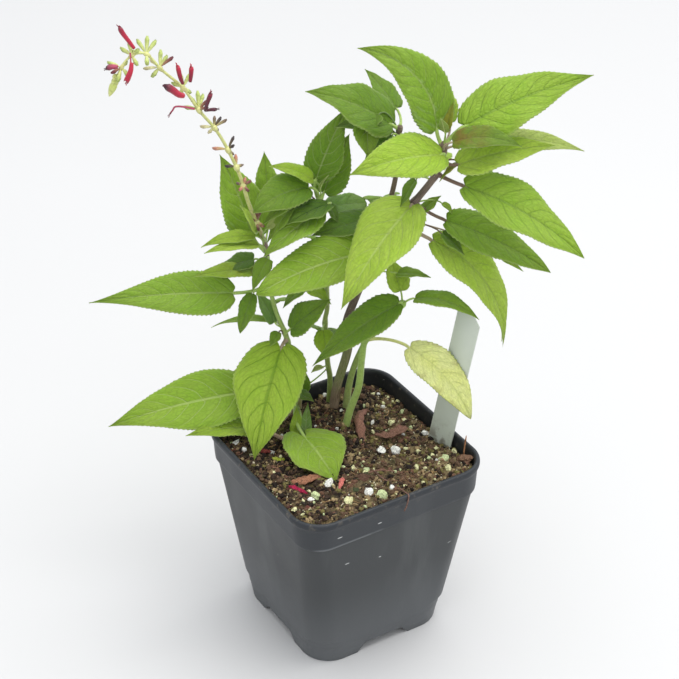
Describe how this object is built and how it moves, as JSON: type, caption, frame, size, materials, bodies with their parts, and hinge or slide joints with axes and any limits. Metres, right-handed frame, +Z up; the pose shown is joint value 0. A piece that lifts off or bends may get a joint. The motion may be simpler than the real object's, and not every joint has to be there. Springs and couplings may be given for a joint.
{
  "type": "potted flowering sage",
  "caption": "Bushy red-flowered sage with broad toothed leaves and an arching flower spike, growing in a dark square nursery pot beside a plain plant label.",
  "frame": {"origin": "on the standing surface, under the middle of the pot", "axes": "+Z up; the pot's four sides face -X, +X, -Y and +Y; the flower spike leans towards -X and +Y, and the leafy crown leans towards +X and -Y"},
  "size_m": [0.1964, 0.1245, 0.3018],
  "materials": {
    "pot_plastic": "satin charcoal, lightly scuffed",
    "soil_mix": "rough, damp",
    "label_plastic": "satin, slightly translucent",
    "stem_wood": "dull brown bark",
    "stem_green": "satin green",
    "leaf_green": "softly hairy, satin",
    "leaf_yellow": "softly hairy, satin",
    "cup_green": "dull",
    "petal_red": "velvety"
  },
  "bodies": {
    "root": {"pot": "pot_plastic", "soil": "soil_mix", "label": "label_plastic", "stem_main": "stem_wood", "stem_back": "stem_wood", "stem_spike": "stem_wood", "stem_centre": "stem_green", "stem_side": "stem_green", "stem_left": "stem_green", "leaf_crown_face": "leaf_green", "leaf_crown_front": "leaf_green", "leaf_crown_arch": "leaf_green", "leaf_crown_upright": "leaf_green", "leaf_back_left": "leaf_green", "leaf_back_up": "leaf_green", "leaf_back_under": "leaf_green", "leaf_right_up": "leaf_green", "leaf_right_pale": "leaf_green", "leaf_right_red": "leaf_green", "leaf_right_level": "leaf_green", "leaf_right_broad": "leaf_green", "leaf_right_shade": "leaf_green", "leaf_right_hang": "leaf_green", "leaf_over_label": "leaf_green", "leaf_mid_dark": "leaf_green", "leaf_mid_olive": "leaf_green", "leaf_small_hang": "leaf_green", "leaf_left_upright": "leaf_green", "leaf_left_rear": "leaf_green", "leaf_left_far": "leaf_green", "leaf_left_long": "leaf_green", "leaf_left_broad": "leaf_green", "leaf_left_blue": "leaf_green", "leaf_middle_dark": "leaf_green", "leaf_middle_bright": "leaf_green", "leaf_spike_upright": "leaf_green", "leaf_spike_small": "leaf_green", "leaf_spike_olive": "leaf_green", "leaf_long_stalk": "leaf_green", "leaf_spike_hang": "leaf_green", "leaf_spike_fold": "leaf_green", "leaf_low_broad": "leaf_green", "leaf_low_left": "leaf_green", "leaf_low_under": "leaf_green", "leaf_heart": "leaf_green", "leaf_yellow": "leaf_yellow", "whorl_1": "cup_green", "whorl_2": "cup_green", "whorl_3": "cup_green", "whorl_4": "cup_green", "whorl_5": "cup_green", "whorl_6": "cup_green", "whorl_7": "cup_green", "tip_buds": "cup_green", "flower_top": "petal_red", "flower_tip": "petal_red", "flower_left": "petal_red", "flower_upper_pair": "petal_red", "flower_right_pair": "petal_red", "flower_dark": "petal_red"}
  },
  "joints": []
}
